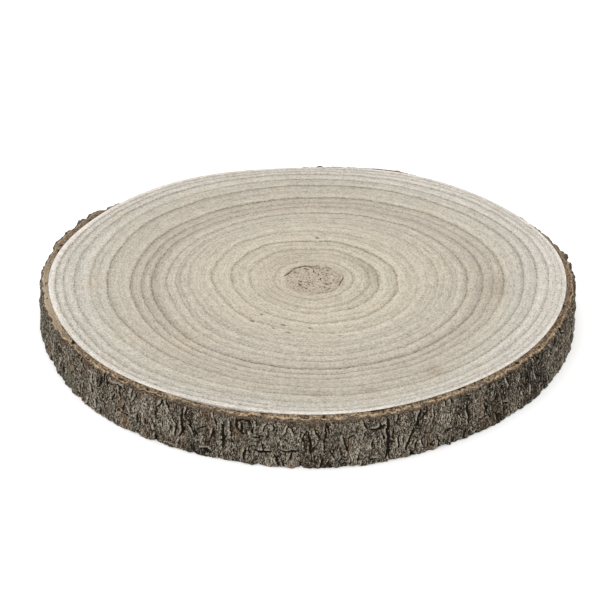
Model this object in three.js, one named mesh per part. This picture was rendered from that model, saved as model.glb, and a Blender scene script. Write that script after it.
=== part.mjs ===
// A slice sawn across a young trunk, lying flat, with its bark still on it.
// Millimetres, +Z up. The origin is on the trunk's axis, in the face that the slice rests on.
// +Y points away from the viewer and angles turn from +X towards +Y.
import * as THREE from 'three';

// The slice: how thick it was sawn, and how far the wood reaches from the trunk's axis.
const THICKNESS = 29.5;
const WOOD_RADIUS = 144;
// The trunk wasn't quite round. A wave is how many swells go round, their height, and where one peaks.
const TRUNK_WAVES = [
  { count: 2, height: 3.9, peak: 3.5 },
  { count: 3, height: 1.4, peak: 31.5 },
  { count: 5, height: 0.5, peak: -10 },
  { count: 6, height: 0.4, peak: 0 },
  { count: 7, height: 0.6, peak: 17.5 },
];

// Growth rings, each at a share of the way from pith to bark. Wide ones leave a groove in the sawn face.
const RINGS = [0.159, 0.258, 0.328, 0.406, 0.503, 0.589, 0.646, 0.724, 0.811, 0.869, 0.921, 0.965];
const RING_GROOVE_DEPTH = 0.3;
const RING_GROOVE_HALF_WIDTH = 0.8;
// The tree grew faster to the right in its later years, and to the front in two spells, each a bell over
// the ring's age, so its middle rings lie off to those sides. The younger ones are also oval, on a slant.
const RIGHT_DRIFT = { share: 0.034, power: 2.1 };
const FRONT_DRIFTS = [
  { share: 0.035, age: 0.64, half_width: 0.125, power: 4 },
  { share: 0.011, age: 0.33, half_width: 0.13, power: 2 },
];
const SLANT = { share: 0.016, age: 0.36, half_width: 0.13, power: 4 };
const OVAL = 0.007;
// Places where the older rings bend out or in, together, until they near the bark.
const BENDS = [
  { at: 97, half_width: 15, share: 0.014 },
  { at: 61, half_width: 16, share: -0.011 },
  { at: 148, half_width: 14, share: 0.009 },
  { at: -25, half_width: 22, share: -0.008 },
];
const BEND_AGES = { start: 0.35, full: 0.6, fade: 0.88, end: 1 };

// The pith is a soft round patch off the middle. It shrank below the face and tore along its rim.
const PITH_CENTRE = new THREE.Vector2(3.7, -2.4);
const PITH_RADIUS = 16.5;
const PITH_SINK = 0.4;
const PITH_RIM_WIDTH = 2;
const PITH_TEARS = [
  { at: 97, half_span: 62, depth: 1.6 },
  { at: -25, half_span: 55, depth: 1.3 },
];

// The bark: its thickness, its unevenness, and the hair gap where it dried away from the wood.
const BARK_THICKNESS = 5.9;
const BARK_WAVES = [
  { count: 2, height: 0.4, peak: 105 },
  { count: 3, height: 0.8, peak: 24 },
];
const BARK_GAP = 0.3;
const BARK_LIFT = { at: -108, half_span: 12, gap: 0.8 };
const BARK_FOOT_FLARE = 0.8;

// The saw left the bark's upper edge sloping outwards, and two long pieces of it have chipped off.
const RIM_SLOPE = 2;
const RIM_INNER_DROP = 0.2;
const RIM_ROUNDING = 0.6;
const RIM_RAGGED = { height: 0.5, count: 31, drift: 2, drift_count: 7 };
const RIM_CHIPS = [
  { from: 8, to: 60, drop: 3 },
  { from: 95, to: 145, drop: 3 },
];
const RIM_CHIP_RAMP = 7;
const RIM_CHIP_INNER_SHARE = 0.5;
const FOOT_RAGGED = { height: 0.35, count: 23, drift: 3, drift_count: 5 };

// Fissures run up the bark between its plates. Each has its own depth, width, sway and reach.
const FISSURES = 120;
const FISSURE_STRAY = 0.8;
const FISSURE_DEPTH = { least: 0.4, most: 1.2 };
const FISSURE_HALF_WIDTH = { least: 1.0, most: 1.8 };
const FISSURE_SWAY = { least: 0.6, most: 2.4 };
const FISSURE_SWAY_LENGTH = { least: 22, most: 48 };
const FISSURE_REACH = { least: 9, most: 30 };
// Plates bulge by different amounts, in waves round the trunk that drift and climb.
const PLATE = { bulge: 0.45, length: 17, count: 33, drift: 1, drift_count: 7, climb_count: 44 };
// A bud scar high on the front: a raised oval lip round a hollow, with widths as shares of the oval.
const SCAR = { at: -103, height: 23.5, half_width: 3.6, half_length: 4 };
const SCAR_LIP = { rise: 1, width: 0.45 };
const SCAR_HOLLOW = { depth: 1.6, width: 0.55 };

// How finely the two bodies are faceted.
const WOOD_SEGMENTS = 90;
const BARK_SEGMENTS = 480;
const BARK_ROWS = 7;

// The traits that are drawn for each fissure, and the steps that scatter the draws.
const TRAIT = { place: 1, sway: 2, swayLength: 3, swayStart: 4, width: 5, middle: 6, reach: 7, depth: 8 };
const DRAW = { index_step: 12.9898, trait_step: 78.233, stretch: 43758.5453 };

const FULL_TURN = 2 * Math.PI;
const radians = THREE.MathUtils.degToRad;
const smooth = THREE.MathUtils.smoothstep;
const lerp = THREE.MathUtils.lerp;

// Sum of cosine waves round the trunk at an angle.
function swell(waves, angle) {
  const heights = waves.map((wave) => wave.height * Math.cos(wave.count * (angle - radians(wave.peak))));
  return heights.reduce((sum, height) => sum + height, 0);
}

// Signed turn from one angle to another, within half a turn.
function turnBetween(from, to) {
  return Math.atan2(Math.sin(to - from), Math.cos(to - from));
}

// Bell that is 1 at the middle of a stretch round the trunk and falls to 0 at its ends.
function stretchBell(stretch, angle) {
  const share = Math.abs(turnBetween(radians(stretch.at), angle)) / radians(stretch.half_span);
  return share < 1 ? Math.cos((share * Math.PI) / 2) ** 2 : 0;
}

// A repeatable draw between 0 and 1 for the numbered fissure and the trait that is drawn.
function draw(index, trait) {
  const scrambled = DRAW.stretch * Math.sin(index * DRAW.index_step + trait * DRAW.trait_step);
  return scrambled - Math.floor(scrambled);
}

function drawBetween(range, index, trait) {
  return lerp(range.least, range.most, draw(index, trait));
}

function woodRadius(angle) {
  return WOOD_RADIUS + swell(TRUNK_WAVES, angle);
}

// Place on a sawn face: a share of the way from the pith to the wood's edge at an angle.
function facePoint(share, angle, height) {
  const edge = new THREE.Vector2(Math.cos(angle), Math.sin(angle)).multiplyScalar(woodRadius(angle));
  const place = PITH_CENTRE.clone().lerp(edge, share);
  return new THREE.Vector3(place.x, place.y, height);
}

// Bell that is 1 at no offset and falls to 1/e at the half width; a higher power gives a flatter top.
function bell(offset, halfWidth, power) {
  return Math.exp(-(Math.abs(offset / halfWidth) ** power));
}

// How strongly a drift acts on a ring of one age.
function driftAt(drift, age) {
  return drift.share * bell(age - drift.age, drift.half_width, drift.power);
}

// Where a ring of one age lies at an angle: its mean share, drifted, slanted, ovalled and bent.
function ringShare(age, angle) {
  const right = RIGHT_DRIFT.share * Math.sin(Math.PI * age ** RIGHT_DRIFT.power);
  const front = FRONT_DRIFTS.reduce((sum, drift) => sum + driftAt(drift, age), 0);
  const oval = OVAL * Math.sin(Math.PI * age);
  const drifted = right * Math.cos(angle) - front * Math.sin(angle);
  const ovalled = -oval * Math.cos(2 * angle) - driftAt(SLANT, age) * Math.sin(2 * angle);
  const grown = smooth(age, BEND_AGES.start, BEND_AGES.full);
  const fading = 1 - smooth(age, BEND_AGES.fade, BEND_AGES.end);
  const bends = BENDS.map((bend) => {
    const away = THREE.MathUtils.radToDeg(turnBetween(radians(bend.at), angle));
    return bend.share * bell(away, bend.half_width, 2);
  });
  return age + drifted + ovalled + grown * fading * bends.reduce((sum, bend) => sum + bend, 0);
}

// One row of points, once round the trunk.
function rowRound(segments, pointAt) {
  const angles = Array.from({ length: segments }, (unused, step) => (step * FULL_TURN) / segments);
  return angles.map(pointAt);
}

// A closed skin over rows of points. It starts and ends in a single point, or its last row meets its first.
function skin(rows) {
  const starts = [];
  const positions = [];
  for (const row of rows) {
    starts.push(positions.length / 3);
    row.forEach((point) => positions.push(point.x, point.y, point.z));
  }
  const capped = rows[0].length === 1;
  const bands = capped ? rows.length - 1 : rows.length;
  const triangles = [];
  for (let band = 0; band < bands; band += 1) {
    const next = (band + 1) % rows.length;
    const segments = Math.max(rows[band].length, rows[next].length);
    const corner = (row, step) => starts[row] + (step % rows[row].length);
    for (let step = 0; step < segments; step += 1) {
      if (rows[next].length > 1) {
        triangles.push(corner(band, step), corner(next, step), corner(next, step + 1));
      }
      if (rows[band].length > 1) {
        triangles.push(corner(band, step), corner(next, step + 1), corner(band, step + 1));
      }
    }
  }
  const geometry = new THREE.BufferGeometry();
  geometry.setAttribute('position', new THREE.Float32BufferAttribute(positions, 3));
  geometry.setIndex(triangles);
  geometry.computeVertexNormals();
  return geometry;
}

// The wood: out across the upper face over the sunken pith and the ring grooves, down, and back below.
function woodDisc() {
  const pithShare = PITH_RADIUS / WOOD_RADIUS;
  const rimShare = PITH_RIM_WIDTH / WOOD_RADIUS;
  const grooveShare = RING_GROOVE_HALF_WIDTH / WOOD_RADIUS;
  const pithLevel = THICKNESS - PITH_SINK;
  const tearLevel = (angle) => {
    const depths = PITH_TEARS.map((tear) => tear.depth * stretchBell(tear, angle));
    return pithLevel - Math.max(...depths);
  };
  const row = (pointAt) => rowRound(WOOD_SEGMENTS, pointAt);
  const rows = [
    [new THREE.Vector3(PITH_CENTRE.x, PITH_CENTRE.y, pithLevel)],
    row((angle) => facePoint(pithShare - rimShare, angle, pithLevel)),
    row((angle) => facePoint(pithShare, angle, tearLevel(angle))),
    row((angle) => facePoint(pithShare + rimShare, angle, THICKNESS)),
  ];
  for (const age of RINGS) {
    rows.push(row((angle) => facePoint(ringShare(age, angle) - grooveShare, angle, THICKNESS)));
    rows.push(row((angle) => facePoint(ringShare(age, angle), angle, THICKNESS - RING_GROOVE_DEPTH)));
    rows.push(row((angle) => facePoint(ringShare(age, angle) + grooveShare, angle, THICKNESS)));
  }
  rows.push(row((angle) => facePoint(1, angle, THICKNESS)));
  rows.push(row((angle) => facePoint(1, angle, 0)));
  rows.push([new THREE.Vector3(PITH_CENTRE.x, PITH_CENTRE.y, 0)]);
  return skin(rows);
}

// Depth of the deepest fissure that passes a place on the bark. Each sways as it climbs and fades
// out above and below its own middle.
function fissureDepth(angle, height) {
  const depths = Array.from({ length: FISSURES }, (unused, index) => {
    const stray = FISSURE_STRAY * (draw(index, TRAIT.place) - 0.5);
    const swayLength = drawBetween(FISSURE_SWAY_LENGTH, index, TRAIT.swayLength);
    const swayPhase = FULL_TURN * (height / swayLength + draw(index, TRAIT.swayStart));
    const sway = drawBetween(FISSURE_SWAY, index, TRAIT.sway) * Math.sin(swayPhase);
    const middle = ((index + stray) * FULL_TURN) / FISSURES + sway / WOOD_RADIUS;
    const halfWidth = drawBetween(FISSURE_HALF_WIDTH, index, TRAIT.width);
    const across = (turnBetween(middle, angle) * WOOD_RADIUS) / halfWidth;
    const reach = drawBetween(FISSURE_REACH, index, TRAIT.reach);
    const along = (height - THICKNESS * draw(index, TRAIT.middle)) / reach;
    const depth = drawBetween(FISSURE_DEPTH, index, TRAIT.depth);
    return depth * Math.exp(-(across ** 2)) * Math.exp(-(along ** 4));
  });
  return Math.max(...depths);
}

// How far plates stand out: a wave round the trunk that runs early and late, times one that climbs it.
function plateBulge(angle, height) {
  const roundWave = Math.sin(PLATE.count * angle + PLATE.drift * Math.sin(PLATE.drift_count * angle));
  const climb = (FULL_TURN * height) / PLATE.length;
  return PLATE.bulge * roundWave * Math.cos(climb + PLATE.climb_count * angle);
}

// The bud scar: a bell along an oval for its lip, less a bell at its middle for the hollow.
function scarRelief(angle, height) {
  const across = (turnBetween(radians(SCAR.at), angle) * WOOD_RADIUS) / SCAR.half_width;
  const along = (height - SCAR.height) / SCAR.half_length;
  const out = Math.hypot(across, along);
  const lip = SCAR_LIP.rise * Math.exp(-(((out - 1) / SCAR_LIP.width) ** 2));
  return lip - SCAR_HOLLOW.depth * Math.exp(-((out / SCAR_HOLLOW.width) ** 2));
}

// A ragged edge: a wave round the trunk that runs early and late by turns.
function ragged(edge, angle) {
  return edge.height * Math.sin(edge.count * angle + edge.drift * Math.sin(edge.drift_count * angle));
}

// How much lower the bark's upper edge stands where a piece of it has chipped off.
function chipDrop(angle) {
  const drops = RIM_CHIPS.map((chip) => {
    const middle = radians((chip.from + chip.to) / 2);
    const half = (chip.to - chip.from) / 2;
    const away = Math.abs(THREE.MathUtils.radToDeg(turnBetween(middle, angle)));
    return chip.drop * (1 - smooth(away, half - RIM_CHIP_RAMP, half + RIM_CHIP_RAMP));
  });
  return Math.max(...drops);
}

// The bark: in section, its sloping upper edge, its furrowed outside, its foot, and a smooth inner wall.
function barkRing() {
  const innerRadius = (angle) => {
    return woodRadius(angle) + BARK_GAP + BARK_LIFT.gap * stretchBell(BARK_LIFT, angle);
  };
  const upperEdge = (angle) => THICKNESS - RIM_SLOPE - chipDrop(angle) + ragged(RIM_RAGGED, angle);
  const lowerEdge = (angle) => FOOT_RAGGED.height + ragged(FOOT_RAGGED, angle);
  const outside = (angle, share) => {
    const height = lerp(upperEdge(angle), lowerEdge(angle), share);
    const rounding = share === 0 ? RIM_ROUNDING : 0;
    const relief = plateBulge(angle, height) + scarRelief(angle, height) - fissureDepth(angle, height);
    const thickness = BARK_THICKNESS + swell(BARK_WAVES, angle) + BARK_FOOT_FLARE * share;
    return { radius: woodRadius(angle) + thickness + relief - rounding, height };
  };
  const turned = (angle, radius, height) => {
    return new THREE.Vector3(radius * Math.cos(angle), radius * Math.sin(angle), height);
  };
  const row = (pointAt) => rowRound(BARK_SEGMENTS, pointAt);
  const innerTop = (angle) => THICKNESS - RIM_INNER_DROP - RIM_CHIP_INNER_SHARE * chipDrop(angle);
  const rows = [row((angle) => turned(angle, innerRadius(angle), innerTop(angle)))];
  for (let level = 0; level < BARK_ROWS; level += 1) {
    rows.push(row((angle) => {
      const place = outside(angle, level / (BARK_ROWS - 1));
      return turned(angle, place.radius, place.height);
    }));
  }
  rows.push(row((angle) => turned(angle, innerRadius(angle), 0)));
  return skin(rows);
}

function named(name, geometry, material) {
  const mesh = new THREE.Mesh(geometry, new THREE.MeshStandardMaterial(material));
  mesh.name = name;
  return mesh;
}

const slice = new THREE.Group();
slice.name = 'wood_slice';
slice.add(named('wood_disc', woodDisc(), { color: 0xc8bfad, roughness: 0.75, metalness: 0 }));
slice.add(named('bark_ring', barkRing(), { color: 0x6a6056, roughness: 0.95, metalness: 0 }));

export default slice;
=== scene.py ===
import bpy
import numpy as np
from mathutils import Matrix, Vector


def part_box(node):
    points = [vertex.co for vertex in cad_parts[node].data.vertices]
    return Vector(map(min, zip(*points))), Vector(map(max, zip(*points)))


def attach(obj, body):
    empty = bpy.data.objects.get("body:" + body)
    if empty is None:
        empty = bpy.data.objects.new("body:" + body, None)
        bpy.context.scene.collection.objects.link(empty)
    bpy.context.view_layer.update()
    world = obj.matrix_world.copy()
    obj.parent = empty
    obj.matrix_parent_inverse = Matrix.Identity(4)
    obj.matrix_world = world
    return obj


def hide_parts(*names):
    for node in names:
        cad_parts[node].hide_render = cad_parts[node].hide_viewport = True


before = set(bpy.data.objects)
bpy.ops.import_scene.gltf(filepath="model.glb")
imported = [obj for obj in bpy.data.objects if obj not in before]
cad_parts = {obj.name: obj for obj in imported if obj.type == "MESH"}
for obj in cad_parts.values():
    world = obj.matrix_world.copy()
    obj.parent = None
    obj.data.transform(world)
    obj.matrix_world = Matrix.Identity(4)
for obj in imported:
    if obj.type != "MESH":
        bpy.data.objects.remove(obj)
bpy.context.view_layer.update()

# The sawn wood.
# One disc cut across a fast-grown trunk and sanded: pale sapwood outside, browner heartwood within, and
# a soft pith off the middle that shrank below the face and tore round its rim. Nothing is fixed to it.

MM = 0.001
TURN = 2 * np.pi
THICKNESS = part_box("wood_disc")[1].z

MEAN_RADIUS = 144 * MM
WOOD_COLUMNS = 360
WOOD_ROWS = 160
FIRST_ROW_AGE = 0.012
UNDERSIDE_ROW_STEP = 6
OUTLINE_WAVES = 12
PITH_CENTRE = (3.7 * MM, -2.4 * MM)
PITH_AGE = 0.113
PITH_SINK = 0.4 * MM
# Each tear: the direction of its middle and its half span in degrees, its depth and its half width.
PITH_TEARS = (
    (108, 34, 1.8 * MM, 0.50 * MM),
    (152, 22, 1.9 * MM, 0.42 * MM),
    (58, 12, 0.9 * MM, 0.45 * MM),
    (-4, 26, 1.6 * MM, 0.36 * MM),
    (-58, 34, 0.7 * MM, 0.50 * MM),
)
# Each pit, where a bud trace or a borer left a mark: its direction in degrees, its age, and its half sizes
# along and across the ring.
PITS = (
    (-142, 0.066, 1.1 * MM, 0.8 * MM),
    (-114, 0.071, 0.7 * MM, 0.6 * MM),
    (-52, 0.071, 0.9 * MM, 0.7 * MM),
    (-32, 0.063, 1.2 * MM, 0.7 * MM),
    (-22, 0.073, 1.1 * MM, 0.7 * MM),
    (52, 0.092, 0.8 * MM, 0.6 * MM),
    (142, 0.092, 0.8 * MM, 0.6 * MM),
    (-125, 0.413, 1.6 * MM, 0.8 * MM),
    (-102, 0.426, 1.2 * MM, 0.8 * MM),
    (-76, 0.426, 1.1 * MM, 0.8 * MM),
    (-125, 0.350, 1.1 * MM, 0.7 * MM),
    (-91, 0.365, 1.1 * MM, 0.8 * MM),
    (-107, 0.377, 1.6 * MM, 0.7 * MM),
    (-111, 0.416, 1.0 * MM, 0.7 * MM),
    (86, 0.357, 1.2 * MM, 0.8 * MM),
)
PIT_DEPTH = 0.5 * MM
# Each stain, brown along a ray, or pale if below zero: its direction and half width in degrees, its age,
# its half length and its strength.
STAINS = (
    (-88, 1.8, 0.860, 0.024, 0.9),
    (-74, 2.0, 0.858, 0.022, 0.9),
    (-56, 2.0, 0.835, 0.045, 1.0),
    (110, 1.0, 0.955, 0.030, 0.7),
    (-6, 8.0, 0.700, 0.050, 0.6),
    (-140, 26, 0.205, 0.060, 0.3),
    (120, 40, 0.215, 0.070, 0.4),
    (18, 30, 0.236, 0.024, 0.7),
    (62, 34, 0.335, 0.014, 0.4),
    (8, 42, 0.287, 0.018, -0.6),
    (100, 50, 0.300, 0.014, -0.4),
    (-74, 9, 0.338, 0.018, -0.7),
    (-75, 3.5, 0.730, 0.090, -0.5),
    (-139, 3.5, 0.775, 0.090, -0.4),
)
# How far out the brown heartwood reaches, past its mean: a direction, a half width in degrees, and the age.
HEART_REACH = ((-97, 50, 0.10), (14, 52, -0.06), (120, 42, 0.03))
# Each ring: its age as a share of the tree's, how dark it is, and the direction where it shows best.
RINGS = (
    (0.159, 0.55, -20),
    (0.190, 0.25, 120),
    (0.222, 0.45, 10),
    (0.258, 0.75, 20),
    (0.296, 0.30, 90),
    (0.328, 0.85, 60),
    (0.376, 0.25, -16),
    (0.406, 0.60, -150),
    (0.447, 0.20, 100),
    (0.480, 0.40, 20),
    (0.503, 0.40, -160),
    (0.535, 0.50, 100),
    (0.551, 0.50, -130),
    (0.589, 0.80, 40),
    (0.646, 0.95, -120),
    (0.684, 0.75, -140),
    (0.724, 1.00, 105),
    (0.770, 0.20, -90),
    (0.811, 0.90, 110),
    (0.845, 0.30, -130),
    (0.869, 0.85, 20),
    (0.921, 0.85, 90),
    (0.955, 0.65, 150),
    (0.978, 0.70, 170),
)
RING_HALF_WIDTH = 0.7 * MM
RING_FADE = 0.22
RING_GROOVE = 0.16 * MM
SEASON_WIDTH = 3.2 * MM
EDGE_ROUNDING = 0.5 * MM
WOOD_SHINE = 0.25
FACE_ROUGHNESS = 0.06 * MM
PITH_ROUGHNESS = 0.25 * MM
# Each wobble: the direction where rings bend, its half width in degrees, and its push as a share.
RING_WOBBLES = (
    (97, 15, 0.014),
    (61, 16, -0.011),
    (148, 14, 0.009),
    (-25, 22, -0.008),
)


def rim_radius(angle):
    """The wood's outline as a smooth curve: the CAD disc's lower rim gives one radius per direction,
    and the radius at any angle is the sum of the first waves in those radii."""
    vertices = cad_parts["wood_disc"].data.vertices
    places = np.empty(3 * len(vertices))
    vertices.foreach_get("co", places)
    x, y, z = places.reshape(-1, 3).T
    on_rim = (z < 0.1 * THICKNESS) & (np.hypot(x, y) > THICKNESS)
    corners = np.unique(np.round(np.stack([x, y], 1)[on_rim], 5), axis=0)
    turns = np.arctan2(corners[:, 1], corners[:, 0])
    radii = np.hypot(corners[:, 0], corners[:, 1])
    total = np.full(np.shape(angle), radii.mean())
    for wave in range(1, OUTLINE_WAVES + 1):
        total = total + 2 * np.mean(radii * np.cos(wave * turns)) * np.cos(wave * angle)
        total = total + 2 * np.mean(radii * np.sin(wave * turns)) * np.sin(wave * angle)
    return total


def turn_from(degrees, angle):
    """Signed turn from a direction in degrees to each angle, in degrees within half a turn."""
    return np.degrees(np.angle(np.exp(1j * (angle - np.radians(degrees)))))


def bell(offset, half_width, power=2):
    """1 at no offset, falling to 1/e at the half width; a higher power gives a flatter top."""
    return np.exp(-np.abs(offset / half_width) ** power)


def ease(value, low, high):
    """0 below the low value, 1 above the high one, and a smooth step between them."""
    part = np.clip((value - low) / (high - low), 0, 1)
    return part * part * (3 - 2 * part)


def lattice_noise(x, y, z, seed):
    """Smooth random heights between -1 and 1: random values at whole-number points of space, eased
    between the eight points round each place."""
    values = np.random.default_rng(seed).uniform(-1, 1, 4096)
    low = [np.floor(axis).astype(np.int64) for axis in (x, y, z)]
    part = [axis - floor for axis, floor in zip((x, y, z), low)]
    eased = [ease(p, 0, 1) for p in part]
    total = np.zeros(np.broadcast(x, y, z).shape)
    for corner in np.ndindex(2, 2, 2):
        spot = [floor + step for floor, step in zip(low, corner)]
        pick = (spot[0] * 73856093 ^ spot[1] * 19349663 ^ spot[2] * 83492791) % values.size
        weight = np.ones(total.shape)
        for near, step in zip(eased, corner):
            weight = weight * (near if step else 1 - near)
        total = total + weight * values[pick]
    return total


def ring_share(age, angle):
    """How far from pith to edge the wood of one age lies. Rings drift right, most at seven tenths of the
    age, and to the front in the years round two thirds; younger ones are oval; some bend locally, and
    all of them waver a little."""
    right = 0.034 * np.sin(np.pi * age**2.1)
    front = 0.035 * bell(age - 0.64, 0.125, 4) + 0.011 * bell(age - 0.33, 0.13)
    slant = 0.016 * bell(age - 0.36, 0.13, 4)
    oval = 0.007 * np.sin(np.pi * age)
    share = age + right * np.cos(angle) - front * np.sin(angle)
    share = share - slant * np.sin(2 * angle) - oval * np.cos(2 * angle)
    grown = ease(age, 0.35, 0.6) * (1 - ease(age, 0.88, 1))
    for at, half_width, push in RING_WOBBLES:
        share = share + push * grown * bell(turn_from(at, angle), half_width)
    east, north, years = np.cos(angle) + 0 * age, np.sin(angle) + 0 * age, 12 * age + 0 * angle
    waver = 0.006 * lattice_noise(3.2 * east, 3.2 * north, 0.6 * years, 13)
    waver = waver + 0.003 * lattice_noise(12 * east, 12 * north, years, 14)
    return share + waver * ease(age, 0.12, 0.2) * (1 - ease(age, 0.95, 1))


def skin_mesh(name, rows, attributes, capped):
    """A closed skin over a grid of points, rows by columns by three. Columns close on themselves. The last
    row meets the first, or, if capped, each end row closes on a point at its middle."""
    row_count, column_count, _ = rows.shape
    points = rows.reshape(-1, 3)
    here = np.arange(row_count * column_count).reshape(row_count, column_count)
    after = np.roll(here, -1, axis=1)
    bands = row_count - 1 if capped else row_count
    below = np.roll(here, -1, axis=0)[:bands]
    below_after = np.roll(after, -1, axis=0)[:bands]
    quads = np.stack([here[:bands], below, below_after, after[:bands]], -1).reshape(-1, 4)
    fans = np.empty((0, 3), int)
    if capped:
        first, last = len(points), len(points) + 1
        points = np.vstack([points, rows[0].mean(0), rows[-1].mean(0)])
        first_fan = np.stack([np.full(column_count, first), here[0], after[0]], -1)
        last_fan = np.stack([here[-1], np.full(column_count, last), after[-1]], -1)
        fans = np.vstack([first_fan, last_fan])
    mesh = bpy.data.meshes.new(name)
    mesh.vertices.add(len(points))
    mesh.vertices.foreach_set("co", points.ravel())
    mesh.loops.add(quads.size + fans.size)
    mesh.loops.foreach_set("vertex_index", np.concatenate([quads.ravel(), fans.ravel()]))
    mesh.polygons.add(len(quads) + len(fans))
    starts = np.concatenate([4 * np.arange(len(quads)), quads.size + 3 * np.arange(len(fans))])
    mesh.polygons.foreach_set("loop_start", starts)
    mesh.update(calc_edges=True)
    mesh.polygons.foreach_set("use_smooth", np.ones(len(mesh.polygons), bool))
    for label, values in attributes.items():
        flat = values.reshape(-1)
        if capped:
            flat = np.concatenate([flat, [values[0].mean(), values[-1].mean()]])
        mesh.attributes.new(label, "FLOAT", "POINT").data.foreach_set("value", flat.astype(np.float32))
    mesh.validate()
    piece = bpy.data.objects.new(name, mesh)
    bpy.context.scene.collection.objects.link(piece)
    return piece


def face_ages():
    """Ages of the rows across a sawn face: even rows, with close ones at each ring and at the pith's rim,
    so that fine lines there have edges of their own."""
    radius = rim_radius(np.linspace(0, TURN, 90)).mean()
    even = np.linspace(FIRST_ROW_AGE, 1 - EDGE_ROUNDING / radius, WOOD_ROWS)
    ring_ages = np.array([ring[0] for ring in RINGS])
    close = (ring_ages[:, None] + np.array([-0.5, 0, 0.5]) * MM / radius).ravel()
    pith = PITH_AGE + np.linspace(-2, 2, 13) * MM / radius
    ages = np.unique(np.concatenate([even, close, pith]))
    return ages[np.concatenate([[True], np.diff(ages) > 0.15 * MM / radius])]


def sawn_face(ages, angle):
    """The marks on a sawn face at each age and angle: how far off the nearest ring line is, in millimetres,
    and how strongly it shows; the season, brown up to a line and pale after it; how deep the pith's tears
    and the pits are; the stains along rays; and the zone of the trunk's colour from heart to sapwood."""
    radius = rim_radius(angle)
    age = ages[:, None]
    off = np.full((len(ages), len(angle)), 1.0)
    shows = np.zeros_like(off)
    season = np.zeros_like(off)
    for ring_age, darkness, best in RINGS:
        away = (age - ring_age) * radius
        strength = darkness * (1 - RING_FADE + RING_FADE * np.cos(np.radians(turn_from(best, angle))))
        nearer = np.abs(away) < off
        off = np.where(nearer, np.abs(away), off)
        shows = np.where(nearer, strength, shows)
        season = season - strength * np.sign(away) * np.exp(-np.abs(away) / SEASON_WIDTH)
    tear = np.zeros_like(off)
    for at, half_span, depth, half_width in PITH_TEARS:
        along = np.clip(np.abs(turn_from(at, angle)) / half_span, 0, 1)
        opening = np.cos(along * np.pi / 2) * (0.7 + 0.3 * np.sin(23 * angle) * np.sin(9 * angle))
        wander = 0.5 * MM * np.sin(np.radians(5 * turn_from(at, angle))) + 0.3 * MM * np.sin(11 * angle)
        tear = np.maximum(tear, depth * opening * bell((age - PITH_AGE) * radius - wander, half_width, 3))
    pit = np.zeros_like(off)
    for at, pit_age, half_along, half_across in PITS:
        along = np.radians(turn_from(at, angle)) * pit_age * radius / half_along
        pit = np.maximum(pit, bell(np.hypot(along, (age - pit_age) * radius / half_across), 1, 4))
    stain = np.zeros_like(off)
    for at, half_turn, stain_age, half_length, strength in STAINS:
        around = bell(turn_from(at, angle), half_turn)
        stain = stain + strength * around * bell(age - stain_age, half_length)
    zone = age + np.zeros_like(off)
    for at, half_turn, reach in HEART_REACH:
        part = ease(age, 0.58, 0.74) * (1 - ease(age, 0.9, 1))
        zone = zone - reach * bell(turn_from(at, angle), half_turn, 4) * part
    marks = {"off": off / MM, "shows": shows, "season": season, "tear": tear, "pit": pit}
    return marks | {"stain": stain, "zone": zone}


def wood_disc():
    """The disc's skin: out across the upper face, round its edge, down, and back across the lower one.
    The upper face dips at the ring lines, the pith, the tears and the pits; the lower one only at lines."""
    angle = np.arange(WOOD_COLUMNS) * TURN / WOOD_COLUMNS
    ages = face_ages()
    marks = sawn_face(ages, angle)
    radius = rim_radius(angle)
    share = ring_share(ages[:, None], angle)
    x = PITH_CENTRE[0] + share * (radius * np.cos(angle) - PITH_CENTRE[0])
    y = PITH_CENTRE[1] + share * (radius * np.sin(angle) - PITH_CENTRE[1])
    in_pith = 1 - ease(ages[:, None], PITH_AGE - 0.008, PITH_AGE + 0.006)
    rough = FACE_ROUGHNESS * lattice_noise(x / (2 * MM), y / (2 * MM), 0 * x, 11)
    crumbly = lattice_noise(x / (1.3 * MM), y / (1.3 * MM), 0 * x, 12)
    rough = rough + PITH_ROUGHNESS * in_pith * crumbly
    groove = RING_GROOVE * marks["shows"] * bell(marks["off"] * MM, RING_HALF_WIDTH)
    sunk = groove + PITH_SINK * in_pith + marks["tear"] + PIT_DEPTH * marks["pit"]
    upper = THICKNESS - sunk + np.minimum(rough, 0)
    lower = groove

    edge_x, edge_y = radius * np.cos(angle), radius * np.sin(angle)
    side_levels = np.array([THICKNESS - EDGE_ROUNDING, 0.7 * THICKNESS, 0.3 * THICKNESS, EDGE_ROUNDING])
    side = np.stack(np.broadcast_arrays(edge_x, edge_y, side_levels[:, None]), -1)
    under = slice(None, None, -UNDERSIDE_ROW_STEP)
    rows = np.concatenate([np.stack([x, y, upper], -1), side, np.stack([x, y, lower], -1)[under]])

    def down_and_back(values, at_edge, below):
        """The upper face's values, then one value down the edge, then the upper ones scaled, inwards."""
        edge = np.full((len(side_levels), WOOD_COLUMNS), at_edge)
        return np.concatenate([values, edge, below * values[under]])

    marks["tear"] = marks["tear"] / marks["tear"].max()
    attributes = {"age": down_and_back(ages[:, None] + 0 * angle, 1.0, 1.0)}
    for label, values in marks.items():
        only_above = label in ("tear", "pit", "stain")
        attributes[label] = down_and_back(values, float(label == "zone"), float(not only_above))
    return skin_mesh("sawn_wood", rows, attributes, capped=True)


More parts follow.
